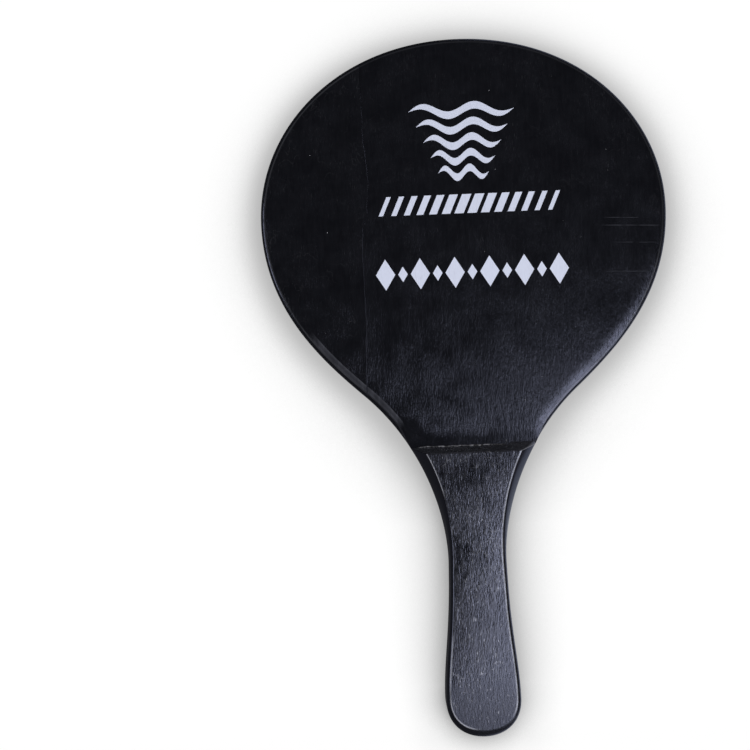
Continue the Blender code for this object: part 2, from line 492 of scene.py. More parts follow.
def footMask(vector, place):
    blur = times(addNoise(vector, band["blurScale"]), band["blur"])
    height = neckY + band["height"]
    low = spread(place["X"], *band["left"], height + band["wider"], height)
    return spread(plus(place["Y"], blur), low, plus(low, band["soft"]), band["relief"], 1.0)


def makeLacquer(kind):
    finish = finishes[kind]
    material, tree, surface, vector = startMaterial(kind + "Lacquer")
    grain = useGroup(grainGroup, vector, {
        "Fibre Width": finish["width"], "Fibre Length": finish["length"], "Fineness": finish["fineness"],
        "Seed": finish["seed"]})
    # Worn arrises, also a painted highlight along them
    wornAndHighlit = useGroup(rubAndHighlightGroup, vector, {"Arris": readMark(tree, "arris"), "Amount": finish["rubbingAndHighlight"]})["Mask"]
    onFace = minus(1.0, readMark(tree, "side"), True)
    height = minus(plus(grain["Fibres"], times(grain["Streaks"], lacquer["streakRelief"])),
                   lacquer["evenRelief"])
    height = times(height, spread(grain["Patches"], *lacquer["patches"], 1 - finish["patchy"],
                                  1 + finish["patchy"] * lacquer["thinRelief"]))
    height = times(height, larger(onFace, lacquer["sideRelief"]))
    # The pale flecks and specks of the grain also paint the handle's glints
    light = larger(times(grain["Flecks"], finish["flecks"]), times(grain["Haze"], finish["haze"]))
    light = times(light, onFace)
    paleMarksAndHighlights = larger(times(grain["Specks"], finish["specks"]), times(grain["Scuffs"], finish["scuffs"]))
    paleMarksAndHighlights = larger(wornAndHighlit, times(paleMarksAndHighlights, onFace))
    smooth = spread(grain["Patches"], *lacquer["patches"],
                    *(finish["roughness"] + extra for extra in lacquer["patchGloss"]))
    place = splitXYZ(vector)
    if kind.endswith("Scale"):
        reached, butt = handleMasks(place["Y"])
        height = times(height, spread(reached, 0.0, 1.0, *handleMiddle["relief"]))
        light = times(light, spread(reached, 0.0, 1.0, *handleMiddle["light"]))
        smooth = plus(smooth, butt)
    if kind.startswith("blade"):
        bare = footMask(vector, place)
        height = times(height, bare)
        smooth = times(smooth, spread(bare, band["relief"], 1.0, band["gloss"], 1.0))
        light = times(light, bare)
    # Painted light on the scale's end slope, and a painted reflection along the blade's left rim
    streaks = spread(grain["Streaks"], *lacquer["paintedLightStreaks"], *lacquer["paintedLight"])
    light = larger(light, times(readMark(tree, "paintedLight"), streaks))
    for x, y, halfLength, halfWidth, slope in scratches.get(kind, ()):
        scratch = useGroup(scratchGroup, vector, {
            "Middle": (x * mm, y * mm, 0), "Half Length": halfLength * mm, "Half Width": halfWidth * mm,
            "Slope": slope})["Mask"]
        light = larger(light, times(scratch, lacquer["scratched"]))
    dark = mixColours(light, lacquer["black"], lacquer["rubbedAndLit"])
    feed(surface, {
        "Base Color": mixColours(paleMarksAndHighlights, dark, lacquer["wornAndHighlit"]),
        "Roughness": plus(smooth, spread(grain["Streaks"], *lacquer["streakGloss"])),
        "Normal": addBump(height, finish["relief"]),
        "Specular Tint": lacquer["tint"], "Specular IOR Level": finish["gloss"]})
    return material


# Blank: five plies with one rounded edge, on the sizes of the frame's nodes
blank = {
    "edgeBulge": 2.0 * mm,
    "arrisRadius": 0.8 * mm,
    "edgePoints": (15, 8),  # on the bulge and on the arris
    "edgeFade": 14 * mm,  # the rounded edge runs out over this length above the neck
    "plyGroove": 0.10 * mm,  # between plies on the edge
    "wander": 0.10 * mm,
    "seeds": (3, 8),  # right and left
    "sag": 0.48 * mm,  # how far the faces fall towards the edge
    "sagWidth": 6.5 * mm,
    "sagCurve": (3.0, 4.0),  # exponents, over its width and over the height
    "sagRings": (0.08, 0.18, 0.32, 0.44, 0.48, 0.64, 0.85, 1),  # shares of its width
    "filled": (0.75, 0.20),  # share of the height up to which the edge is smooth, and its fade
    "arris": (0.93, 0.06),  # where the arris starts, and its fade
    "rimWidth": 2.9 * mm,  # painted reflection along the rim on the left of the front
    "rimTone": (0.45, 0.6),  # along its middle, and what its borders have more
    "rim": (-24 * mm, 32 * mm, 6 * mm, 10 * mm),  # from, to, and their fades
    "wearAndHighlight": 3.5,  # more of the worn lacquer and painted highlight along the right arris, between these
    "wornAndHighlit": (-30 * mm, 85 * mm, 8 * mm, 45 * mm),
}
plyNodes = ["face_veneer_back", "crossband_back", "core_ply", "crossband_front", "face_veneer_front_right"]
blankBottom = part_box(plyNodes[0])[0][2]
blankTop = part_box(plyNodes[-1])[1][2]
blankMiddle = (blankBottom + blankTop) / 2
blankHalf = (blankTop - blankBottom) / 2
outline, inward = traceOutline()
outlineRun = runAlong(outline)


def makeEdgeCurve():
    bulge = blank["edgeBulge"]
    small = blank["arrisRadius"]
    big = (blankHalf ** 2 + bulge ** 2) / (2 * bulge)
    away = math.sqrt((big - small) ** 2 - (blankHalf - small) ** 2)
    return 0, blankHalf, big, small, math.atan2(blankHalf - small, away)


edgeCurve = makeEdgeCurve()


def blankRing(height, extra=0.0, onArris=0.0):
    # Full height at the middle of the faces, a little less at the edge
    share = abs(height / blankHalf)
    acrossCurve, upCurve = blank["sagCurve"]
    fallen = blank["sag"] * (1 - min(extra / blank["sagWidth"], 1)) ** acrossCurve * share ** upCurve
    edge = curveInset(edgeCurve, min(abs(height), blankHalf))

    def clear(points):
        return easeIn((points[:, 1] - neckY) / blank["edgeFade"])

    def level(points):
        return blankMiddle + height - math.copysign(fallen, height) * clear(points)

    sides = []
    for side, seed in zip((1, -1), blank["seeds"]):
        wander = unevenLine(outlineRun, seed, blank["wander"]) * np.sin(math.pi * outlineRun / outlineRun[-1])
        inset = (edge + onArris * wander) * clear(outline) + extra
        sides.append((outline + inward * inset[:, None]) * (side, 1))
    start, fade = blank["filled"]
    onSide = 1 - easeIn((share - start) / fade) if extra == 0 else 0.0
    # A painted reflection along the left rim of the front, near the neck
    middle, border = blank["rimTone"]
    rim = between(outline[:, 1], *blank["rim"]) * (middle + border * abs(2 * extra / blank["rimWidth"] - 1))
    rim = rim * (height >= blankHalf and extra <= blank["rimWidth"])
    # Worn lacquer on the arris, also a painted highlight, stronger along the right
    wornAndHighlit = onArris * (1 + blank["wearAndHighlight"] * between(outline[:, 1], *blank["wornAndHighlit"]))
    return sides[0], np.zeros((0, 2)), sides[1], level, {
        "arris": (wornAndHighlit, 0.0, onArris), "side": (onSide, 0.0, onSide), "paintedLight": (0.0, 0.0, rim)}


def faceRings(height):
    return [blankRing(height, blank["sagWidth"] * share) for share in blank["sagRings"]]


def plyRings(bottom, top):
    heights = curveHeights(edgeCurve, *blank["edgePoints"])
    groove = blank["plyGroove"]
    start, fade = blank["arris"]
    outerBottom = bottom <= -blankHalf + 1e-6
    outerTop = top >= blankHalf - 1e-6
    rings = faceRings(bottom)[::-1] if outerBottom else [blankRing(bottom, groove)]
    for height in np.unique(np.round(np.concatenate((-heights, heights)), 7)):
        if bottom + groove * (not outerBottom) <= height <= top - groove * (not outerTop):
            onArris = easeIn((abs(height) - blankHalf * start) / (blankHalf * fade))
            rings.append(blankRing(height, 0, onArris))
    return rings + (faceRings(top) if outerTop else [blankRing(top, groove)])


def plyLevels():
    boxes = [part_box(node) for node in plyNodes]
    borders = [(lower[1][2] + upper[0][2]) / 2 - blankMiddle for lower, upper in zip(boxes, boxes[1:])]
    return [-blankHalf, *borders, blankHalf]


# Joint between the two strips of the front veneer
joint = {
    "halfWidth": 0.13 * mm,
    "depth": 0.20 * mm,
    "slit": 0.03 * mm,
    "wander": (0.22 * mm, 9 * mm, 90 * mm),  # and its shortest and longest wave
    "seed": 21,
    "step": 1.2 * mm,
    "course": ((-57.6, -40), (-57.2, 2), (-56.1, 35), (-56.6, 72), (-55.9, 88), (-53.2, 98), (-52.1, 114),
               (-54.1, 146), (-54.6, 200)),  # x and y in mm; the joint shifts sideways once
    "cut": (-12 * mm, 196 * mm),
    "knife": (0.1 * mm, -2 * mm),  # its top and bottom, off the face
}


def jointLine(y):
    course = np.array(joint["course"]) * mm
    before = np.clip(np.searchsorted(course[:, 1], y) - 1, 0, len(course) - 2)
    x, low = course[before].T
    nextX, high = course[before + 1].T
    return x + (nextX - x) * easeIn((y - low) / (high - low)) + unevenLine(y, joint["seed"], *joint["wander"])


def jointKnife():
    top, bottom = (blankTop + height for height in joint["knife"])
    shoulder = blankTop - joint["depth"]
    wide = joint["halfWidth"]
    slit = joint["slit"]
    section = ((-wide, top), (wide, top), (slit, shoulder), (slit, bottom), (-slit, bottom),
               (-slit, shoulder))
    stations = np.arange(*joint["cut"], joint["step"])
    vertices = [(x + across, y, height) for x, y in zip(jointLine(stations), stations)
                for across, height in section]
    loops = [range(start, start + len(section)) for start in range(0, len(vertices), len(section))]
    faces = skin(loops) + [tuple(loops[0]), tuple(loops[-1][::-1])]
    return cleanMesh("jointKnife", vertices, faces, {})


def cutStrips(mesh):
    whole = newObject("veneerWhole", mesh)
    knife = newObject("jointKnife", jointKnife())
    cut = whole.modifiers.new("joint", "BOOLEAN")
    cut.operation = "DIFFERENCE"
    cut.object = knife
    strips = []
    for side in (-1, 1):
        strip = evaluatedMesh(whole)
        body = bmesh.new()
        body.from_mesh(strip)
        places = np.array([vertex.co[:2] for vertex in body.verts])
        other = (places[:, 0] - jointLine(places[:, 1])) * side < 0
        away = [vertex for vertex, isAway in zip(body.verts, other) if isAway]
        bmesh.ops.delete(body, geom=away, context="VERTS")
        body.to_mesh(strip)
        body.free()
        strips.append(strip)
    for item in (whole, knife):
        bpy.data.objects.remove(item)
    return strips


def makeBlank():
    levels = plyLevels()
    edgeLacquer = makeLacquer("edge")
    for place, name in enumerate(("backVeneer", "backCrossband", "corePly", "frontCrossband")):
        mesh = loftRings(name, plyRings(levels[place], levels[place + 1]))
        if place == 0:
            finishPiece(name, mesh, makeLacquer("bladeBack"), "blade_face", plyNodes[place])
        else:
            finishPiece(name, mesh, edgeLacquer, "ply_edge", plyNodes[place])
    left, right = cutStrips(loftRings("frontVeneer", plyRings(*levels[-2:])))
    finishPiece("frontVeneerLeft", left, makeLacquer("bladeLeft"), "blade_face", "face_veneer_front_left")
    finishPiece("frontVeneerRight", right, makeLacquer("blade"), "blade_face", "face_veneer_front_right")
    return edgeLacquer


edgeLacquer = makeBlank()
print("blank built")


# Handle scales
scale = {
    "thickness": cadBox[1][2] - blankTop,
    "sideRadius": 3.9 * mm,
    "sideSweep": math.radians(60),
    "arrisRadius": 0.8 * mm,
    "rubAndHighlightDepth": (0.33 * mm, 0.14 * mm),  # of the arris's worn lacquer and painted highlight, right and left
    "rubAndHighlightReach": (0.028, 0.016),  # onto the face, right and left, as a share of its half width
    "clearOfRubAndHighlight": (16 * mm, 2 * mm),  # the lacquer stays unworn and without painted highlight this far from the butt's middle, right and left
    "cornerRubAndHighlight": 0.7,  # worn lacquer and a painted highlight at the right end of the slope
    "buttSide": 4.6 * mm,  # width of the round-over, seen from above, at the butt end
    "buttReach": 40 * mm,  # it narrows over this length of the outline
    "neckSide": 5.7 * mm,  # width of the side, seen from above, at the neck
    "neckStart": 12 * mm,  # it starts to widen this far before the waist
    "neckCurve": 1.3,
    "endSlope": 3.2 * mm,
    "endRounding": 0.35 * mm,
    "footStep": 1.4 * mm,  # the front scale's foot reaches this much further on its right
    "footStepX": (19 * mm, 2 * mm),  # where it starts, and its fade
    "crown": 0.21 * mm,  # the face stands this much higher in its middle
    "crownFade": 55 * mm,
    "faceHalf": 13.5 * mm,
    "faceRings": (0.012, 0.03, 0.08, 0.15, 0.25, 0.4, 0.6, 0.8),  # shares of it, inwards from the arris
    "wander": 0.14 * mm,
    "wanderFade": 20 * mm,  # from the butt
    "rubAndHighlightFade": (8 * mm, 0.8),  # along the arris, and as a share of its depth
    "sideFade": 0.25 * mm,  # the side is smooth up to this far below the arris
    "endWander": (0.112 * mm, 8 * mm, 40 * mm),  # and its shortest and longest wave
    "seeds": (31, 47, 60),  # right, left and end
    "glueLine": 0.08 * mm,
    "sideRings": (8, 11, 8, 7),  # up the wall, round-over and arris, and over the end's rounding
    "sidePoints": 340,
    "endPoints": 70,
}
scaleHigh = scale["thickness"] - scale["crown"]  # of the arris
wallHigh = scaleHigh - scale["arrisRadius"] - (
    scale["sideRadius"] - scale["arrisRadius"]) * math.sin(scale["sideSweep"])
gripCurve = (wallHigh, scaleHigh, scale["sideRadius"], scale["arrisRadius"], scale["sideSweep"])


def sideInset(rise, points, run):
    # Width of the scale's side up to a height, for each point of the outline
    start = waistY - scale["neckStart"]
    near = max(0, rise - scaleHigh + scale["endRounding"]) / scale["endRounding"]
    rounding = scale["endRounding"] * near ** 3
    neckInset = scale["neckSide"] * (rise / scaleHigh) ** scale["neckCurve"] + rounding
    nearNeck = easeIn((points[:, 1] - start) / (neckY - start))
    nearButt = 1 - easeIn(run / scale["buttReach"])
    widening = scale["buttSide"] / curveInset(gripCurve, scaleHigh) - 1
    grip = curveInset(gripCurve, rise) * (1 + widening * nearButt)
    return grip + (neckInset - grip) * nearNeck, rounding


def scaleRing(rise, side, extra=0.0, onArris=(0.0, 0.0)):
    kept = outline[:, 1] < neckY + 12 * mm
    points = outline[kept]
    run = outlineRun[kept]
    inset, rounding = sideInset(rise, points, run)
    setback = scale["endSlope"] * (rise / scaleHigh) + rounding + extra
    rightSeed, leftSeed, endSeed = scale["seeds"]
    sides = []
    for hand, seed, rubbingAndHighlight in ((1, rightSeed, onArris[0]), (-1, leftSeed, onArris[1])):
        wander = rubbingAndHighlight * unevenLine(run, seed + side, scale["wander"]) * easeIn(run / scale["wanderFade"])
        moved = points + inward[kept] * (inset + wander + extra)[:, None]
        movedRun = runAlong(moved)
        end = np.interp(neckY - setback, moved[:, 1], movedRun)
        sides.append(resample(moved, movedRun, np.linspace(0, end, scale["sidePoints"])) * (hand, 1))
    ends = np.linspace(sides[0][-1], sides[1][-1], scale["endPoints"] + 2)[1:-1]
    ends[:, 1] += onArris[0] * unevenLine(ends[:, 0], endSeed + side, *scale["endWander"]) * np.sin(
        np.linspace(0, math.pi, len(ends)))
    toFoot = (1 - rise / scaleHigh) * (side > 0)
    stepX, fade = scale["footStepX"]
    ends[:, 1] += scale["footStep"] * toFoot * easeIn((ends[:, 0] - stepX) / fade)
    base = blankTop if side > 0 else blankBottom
    edgeX, edgeY = sides[0].T

    def level(points):
        return base + side * (rise + crownRise(points, edgeX, edgeY, extra))

    below = rise < scaleHigh - 0.1 * mm
    onSide = easeIn((scaleHigh - rise) / scale["sideFade"]) if extra == 0 else 0.0
    share = np.linspace(0, 1, scale["sidePoints"])
    # Worn lacquer along the arrises, also a painted highlight
    rubbedAndLit = [value * easeIn((share * end - clear) / scale["rubAndHighlightFade"][0])
              for value, clear in zip(onArris, scale["clearOfRubAndHighlight"])]
    if below and side > 0:
        rubbedAndLit[0][-1] = scale["cornerRubAndHighlight"]
    # The end line below the top is painted paler, as light on the end slope
    return sides[0], ends, sides[1], level, {
        "arris": (rubbedAndLit[0], 0.0, rubbedAndLit[1]), "side": (onSide, 0.0, onSide), "paintedLight": (0.0, float(below), 0.0)}


def crownRise(points, edgeX, edgeY, inset):
    # The face is highest along its middle, and flat across at the neck and at the butt
    half = np.interp(points[:, 1], edgeY, edgeX) + inset
    across = 1 - np.clip(np.abs(points[:, 0]) / half, 0, 1) ** 2
    toNeck = easeIn((neckY - scale["endSlope"] - points[:, 1]) / scale["crownFade"])
    toButt = easeIn((points[:, 1] - buttY) / scale["crownFade"])
    return scale["crown"] * across * toNeck * toButt if inset > 0 else np.zeros(len(points))


def scaleRings(side):
    onWall, onBig, onSmall, onEnd = scale["sideRings"]
    heights = np.concatenate((np.linspace(scale["glueLine"], wallHigh, onWall),
                              curveHeights(gripCurve, onBig, onSmall),
                              np.linspace(scaleHigh - scale["endRounding"], scaleHigh, onEnd)))
    rings = [scaleRing(0, side, scale["glueLine"])]
    fade = scale["rubAndHighlightFade"][1]
    for rise in np.unique(np.round(heights, 7)):
        onArris = [easeIn((rise - scaleHigh + depth) / (depth * fade)) for depth in scale["rubAndHighlightDepth"]]
        rings.append(scaleRing(min(rise, scaleHigh), side, 0, onArris))
    for share in scale["faceRings"]:
        onArris = [max(0, 1 - share / reach) for reach in scale["rubAndHighlightReach"]]
        rings.append(scaleRing(scaleHigh, side, scale["faceHalf"] * share, onArris))
    return rings


for name, side, node in (("frontScale", 1, "handle_scale_front"), ("backScale", -1, "handle_scale_back")):
    finishPiece(name, loftRings(name, scaleRings(side)), makeLacquer(name), "handle_scale", node)
print("handle scales built")


# Geometry node trees
def newTree(name, inputs):
    # Every tree also takes the material of what it grows
    tree = bpy.data.node_groups.new(name, "GeometryNodeTree")
    for kind, labels in {**inputs, "Material": ("Material",)}.items():
        for label in labels:
            tree.interface.new_socket(label, in_out="INPUT", socket_type="NodeSocket" + kind)
    tree.interface.new_socket("Geometry", in_out="OUTPUT", socket_type="NodeSocketGeometry")
    return tree, tree.nodes.new("NodeGroupInput").outputs


def endTree(geometry, given):
    tree = geometry.id_data
    real = addNode(tree, "GeometryNodeRealizeInstances", {"Geometry": geometry})
    painted = addNode(tree, "GeometryNodeSetMaterial", {"Geometry": real, "Material": given["Material"]})
    feed(tree.nodes.new("NodeGroupOutput"), {"Geometry": painted})
    return tree


def growPiece(name, tree, material, values, slot=None, base=None, sharpest=34):
    holder = newObject(name, base or bpy.data.meshes.new(name))
    modifier = holder.modifiers.new("grow", "NODES")
    modifier.node_group = tree
    values = {**values, "Material": material}
    for item in tree.interface.items_tree:
        if item.in_out == "INPUT" and item.name in values:
            modifier[item.identifier] = values[item.name]
    mesh = evaluatedMesh(holder)
    holder.modifiers.remove(modifier)
    bpy.data.objects.remove(holder)
    mesh.name = name
    finishPiece(name, mesh, material, slot, sharpest=sharpest)


def setCopies(points, item, scaling):
    return addNode(treeOf(points), "GeometryNodeInstanceOnPoints", {
        "Points": points, "Instance": item, "Scale": scaling})


def sweepRing(curve, radius, girth, sides):
    tree = treeOf(curve)
    ring = addNode(tree, "GeometryNodeCurvePrimitiveCircle", {"Resolution": sides, "Radius": radius})
    return addNode(tree, "GeometryNodeCurveToMesh", {
        "Curve": curve, "Profile Curve": ring, "Scale": girth, "Fill Caps": True})


def makeWaveTree():
    # Stacked wavy ribbons, each one shorter than the one above it
    tree, given = newTree("waveRibbons", {
        "Int": ("Rows", "Steps"), "Vector": ("Place",),
        "Float": ("Width", "Bar", "Thickness", "Swing", "Waves", "Pitch", "Shrink", "Point")})
    ribbon = addNode(tree, "GeometryNodeMeshCube", {
        "Size": joinXYZ(given["Width"], given["Bar"], given["Thickness"]), "Vertices X": given["Steps"]})
    place = splitXYZ(addNode(tree, "GeometryNodeInputPosition"))
    share = over(place["X"], given["Width"])
    swing = times(calc("SINE", times(times(share, given["Waves"]), 2 * math.pi)), given["Swing"])
    taper = minus(1.0, calc("POWER", unsigned(times(share, 2.0)), 4.0))
    slim = times(place["Y"], larger(taper, given["Point"]))
    wavy = addNode(tree, "GeometryNodeSetPosition", {
        "Geometry": ribbon, "Position": joinXYZ(place["X"], plus(slim, swing), place["Z"])})
    rows = addNode(tree, "GeometryNodeMeshLine", {
        "Count": given["Rows"], "Start Location": given["Place"],
        "Offset": joinXYZ(y=times(given["Pitch"], -1.0))})
    narrow = minus(1.0, times(addNode(tree, "GeometryNodeInputIndex"), given["Shrink"]))
    return endTree(setCopies(rows, wavy, joinXYZ(narrow, 1.0, 1.0)), given)


def startRow(tree, given):
    # Points along X, their indices, and the last index
    row = addNode(tree, "GeometryNodeMeshLine", {
        "Count": given["Count"], "Offset": joinXYZ(given["Pitch"])})
    return row, addNode(tree, "GeometryNodeInputIndex"), minus(given["Count"], 1.0)


def endRow(geometry, last, given):
    back = joinXYZ(times(times(last, given["Pitch"]), -0.5))
    placed = addNode(treeOf(geometry), "GeometryNodeTransform", {
        "Geometry": geometry, "Translation": vectorMath("ADD", given["Place"], back)})
    return endTree(placed, given)


def makeBarTree():
    # A row of slanted bars that get slimmer towards both ends
    tree, given = newTree("slantedBars", {
        "Int": ("Count",), "Float": ("Pitch", "Bar", "Height", "Thickness", "Slant", "Slimmest"),
        "Vector": ("Place",)})
    bar = addNode(tree, "GeometryNodeMeshCube", {
        "Size": joinXYZ(given["Bar"], given["Height"], given["Thickness"])})
    row, index, last = startRow(tree, given)
    centre = times(last, 0.5)
    slim = spread(over(unsigned(minus(index, centre)), centre), 0.0, 1.0, 1.0, given["Slimmest"])
    bars = setCopies(row, bar, joinXYZ(slim, 1.0, 1.0))
    real = addNode(tree, "GeometryNodeRealizeInstances", {"Geometry": bars})
    lean = times(splitXYZ(addNode(tree, "GeometryNodeInputPosition"))["Y"], given["Slant"])
    leaning = addNode(tree, "GeometryNodeSetPosition", {"Geometry": real, "Offset": joinXYZ(lean)})
    return endRow(leaning, last, given)


def makeDiamondTree():
    # A row of diamonds, every second one smaller
    tree, given = newTree("diamondRow", {
        "Int": ("Count",), "Float": ("Pitch", "Radius", "Thickness", "Slimness", "Smaller"),
        "Vector": ("Place",)})
    diamond = addNode(tree, "GeometryNodeMeshCylinder", {
        "Vertices": 4, "Radius": given["Radius"], "Depth": given["Thickness"]})
    row, index, last = startRow(tree, given)
    size = spread(calc("MODULO", index, 2.0), 0.0, 1.0, 1.0, given["Smaller"])
    return endRow(setCopies(row, diamond, joinXYZ(times(size, given["Slimness"]), size, 1.0)), last, given)


def makeBeadTree():
    # A run of hardened lacquer along the foot of a scale, thick and thin by noise
    tree, given = newTree("lacquerBead", {
        "Vector": ("Start", "End"), "Float": ("Radius", "Wander", "Seed")})
    line = addNode(tree, "GeometryNodeCurvePrimitiveLine", {"Start": given["Start"], "End": given["End"]})
    points = addNode(tree, "GeometryNodeResampleCurve", {"Curve": line, "Count": bead["points"]})
    position = addNode(tree, "GeometryNodeInputPosition")
    drift = minus(addNoise(position, bead["wanderScale"], 2.0, given["Seed"]), 0.5)
    wavy = addNode(tree, "GeometryNodeSetPosition", {
        "Geometry": points, "Offset": joinXYZ(y=times(drift, given["Wander"]))})
    share = addNode(tree, "GeometryNodeSplineParameter")
    ends = larger(times(spread(share, *bead["start"]), spread(share, *bead["end"])), bead["tip"])
    lumps = addNoise(position, bead["lumpScale"], 6.0, given["Seed"], 0.8)
    girth = times(spread(lumps, *bead["lumps"]), ends)
    return endTree(sweepRing(wavy, given["Radius"], girth, 12), given)


def makeRidgeTree():
    # A low ridge of lacquer along a line of points
    tree, given = newTree("lacquerRidge", {"Geometry": ("Geometry",), "Float": ("Radius",)})
    line = addNode(tree, "GeometryNodeMeshToCurve", {"Mesh": given["Geometry"]})
    share = addNode(tree, "GeometryNodeSplineParameter")
    swell = addNoise(addNode(tree, "GeometryNodeInputPosition"), jointRidge["swellScale"], 3.0)
    ends = times(spread(share, *jointRidge["start"]), spread(share, *jointRidge["end"]))
    girth = times(spread(swell, *jointRidge["swell"]), ends)
    return endTree(sweepRing(line, given["Radius"], girth, 10), given)


def makeNibTree():
    # Specks of dust caught in the lacquer, on the faces that look straight up or down
    tree, given = newTree("dustNibs", {
        "Geometry": ("Geometry",), "Float": ("Density", "Radius"), "Int": ("Seed",)})
    upright = unsigned(splitXYZ(addNode(tree, "GeometryNodeInputNormal"))["Z"])
    scattered = addNode(tree, "GeometryNodeDistributePointsOnFaces", {
        "Mesh": given["Geometry"], "Selection": calc("GREATER_THAN", upright, nibs["levelness"]),
        "Density": given["Density"], "Seed": given["Seed"]})
    nib = addNode(tree, "GeometryNodeMeshIcoSphere", {"Radius": given["Radius"], "Subdivisions": 2})
    least, most = nibs["sizes"]
    size = addNode(tree, "FunctionNodeRandomValue", {
        "Min": least, "Max": most, "Seed": given["Seed"]}, "Value")
    long, flat = nibs["shape"]
    return endTree(setCopies(scattered, nib, joinXYZ(size, times(size, long), times(size, flat))), given)


# White print on the front of the blade
ink = {
    "colour": (0.66, 0.70, 0.86, 1),
    "faded": (0.30, 0.32, 0.40, 1),
    "fading": 0.35,  # at the flecks of the grain
    "grain": (0.4 * mm, 4 * mm),
    "roughness": (0.3, 0.7, 0.42, 0.58),
    "relief": (0.02 * mm, 0.5),
    "thickness": 0.04 * mm,
    "lift": 0.025 * mm,
    "waves": {"Rows": 5, "Steps": 161, "Width": 58 * mm, "Bar": 4.2 * mm, "Swing": 2.6 * mm, "Waves": 2.0,
              "Point": 0.06, "Pitch": 8.6 * mm, "Shrink": 0.13, "Place": (0.9 * mm, 152.6 * mm)},
    "bars": {"Count": 14, "Pitch": 7.2 * mm, "Bar": 5.4 * mm, "Height": 10.5 * mm, "Slant": 0.45,
             "Slimmest": 0.45, "Place": (3.4 * mm, 100.9 * mm)},
    "diamonds": {"Count": 11, "Pitch": 9.6 * mm, "Radius": 8.6 * mm, "Slimness": 0.62, "Smaller": 0.5,
                 "Place": (3.6 * mm, 63.2 * mm)},
}


def makeInk():
    material, tree, surface, vector = startMaterial("whiteInk")
    width, length = ink["grain"]
    grain = useGroup(grainGroup, vector, {
        "Fibre Width": width, "Fibre Length": length, "Seed": finishes["blade"]["seed"]})
    feed(surface, {
        "Base Color": mixColours(times(grain["Flecks"], ink["fading"], True), ink["colour"], ink["faded"]),
        "Roughness": spread(grain["Streaks"], *ink["roughness"]),
        "Normal": addBump(grain["Fibres"], *ink["relief"])})
    return material


def makePrint():
    whiteInk = makeInk()
    for name, makeTree in (("waves", makeWaveTree), ("bars", makeBarTree), ("diamonds", makeDiamondTree)):
        place = (*ink[name]["Place"], blankTop + ink["lift"])
        growPiece("print" + name.capitalize(), makeTree(), whiteInk,
                  {**ink[name], "Place": place, "Thickness": ink["thickness"]})


makePrint()
print("print laid on")


# Hardened lacquer: the bead at each scale's foot, the ridge over the joint, and dust nibs
bead = {
    # The bead's pale colour, dried glue, also paints a highlight along the scale's foot
    "pale": (0.34, 0.34, 0.38, 1),
    "dark": (0.012, 0.012, 0.014, 1),
    "speckScale": 700.0,
    "specks": (0.42, 0.60),
    "runScale": 75.0,
    "runs": (0.40, 0.58, 0.1, 1.0),
    "roughness": (0.3, 0.7, 0.30, 0.42),
    "radius": 0.42 * mm,
    "points": 150,
    "wander": 1.1 * mm,
    "wanderScale": 150.0,
    "lumpScale": 34.0,
    "lumps": (0.40, 0.62, 0.4, 1.3),
    "start": (0.0, 0.05),  # it grows over this share of its length
    "end": (1.0, 0.97),
    "tip": 0.05,
    "sink": 0.12 * mm,
    "lift": 0.6,  # of its radius
    "front": ((-31.5 * mm, 0.25 * mm), (18 * mm, 0.25 * mm)),  # from and to, off the neck
    "frontStep": ((18.2 * mm, 0.2 * mm), (18.5 * mm, 2.6 * mm)),  # up the step in the foot
    "back": ((-31 * mm, 0.25 * mm), (33 * mm, 0.25 * mm)),
}
jointRidge = {
    "radius": 0.24 * mm,
    "sink": 0.10 * mm,
    "reach": (-4 * mm, 173 * mm),
    "swellScale": 70.0,
    "swell": (0.35, 0.65, 0.65, 1.15),
    "start": (0.0, 0.05, 0.1, 1.0),
    "end": (1.0, 0.9, 0.1, 1.0),
}
nibs = {
    "density": 900.0,
    "radius": 0.26 * mm,
    "sizes": (0.35, 1.0),
    "shape": (1.3, 0.35),  # length and height against the width
    "levelness": 0.999,
    "hosts": {"frontVeneerRight": "blade_face", "frontVeneerLeft": "blade_face", "frontScale": "handle_scale",
              "backVeneer": "blade_face"},
    "seed": 5,  # of the first host; each other has the next one
}


def makeGlueAndHighlight():
    # Dried glue with specks of lacquer on it, its pale colour also painting a highlight along each scale's
    # foot
    material, tree, surface, vector = startMaterial("glueAndPaintedHighlight")
    specks = addNoise(vector, bead["speckScale"], 3.0)
    share = times(spread(specks, *bead["specks"]), spread(addNoise(vector, bead["runScale"]), *bead["runs"]))
    feed(surface, {"Base Color": mixColours(share, bead["dark"], bead["pale"]),
                   "Roughness": spread(specks, *bead["roughness"])})
    return material


def makeBeads(glue):
    tree = makeBeadTree()
    for name, side, height, size in (("front", 1, blankTop, 1.0), ("frontStep", 1, blankTop, 0.7),
                                     ("back", -1, blankBottom, 1.0)):
        radius = bead["radius"] * size
        level = height + side * (radius * bead["lift"] - bead["sink"])
        start, end = ((x, neckY + y, level) for x, y in bead[name])
        growPiece(name + "Bead", tree, glue, {
            "Start": start, "End": end, "Radius": radius, "Wander": bead["wander"], "Seed": 3.0 + side})


def makeJointRidge():
    stations = np.arange(*jointRidge["reach"], joint["step"])
    height = blankTop - jointRidge["sink"]
    line = bpy.data.meshes.new("jointRidgeLine")
    line.from_pydata([(x, y, height) for x, y in zip(jointLine(stations), stations)],
                     [(index, index + 1) for index in range(len(stations) - 1)], [])
    growPiece("jointRidge", makeRidgeTree(), edgeLacquer, {"Radius": jointRidge["radius"]},
              base=line, sharpest=60)


def makeNibs(material):
    tree = makeNibTree()
    for index, (host, slot) in enumerate(nibs["hosts"].items()):
        growPiece(host + "Nibs", tree, material, {
            "Density": nibs["density"], "Radius": nibs["radius"], "Seed": nibs["seed"] + index},
            slot, bpy.data.objects[host].data)


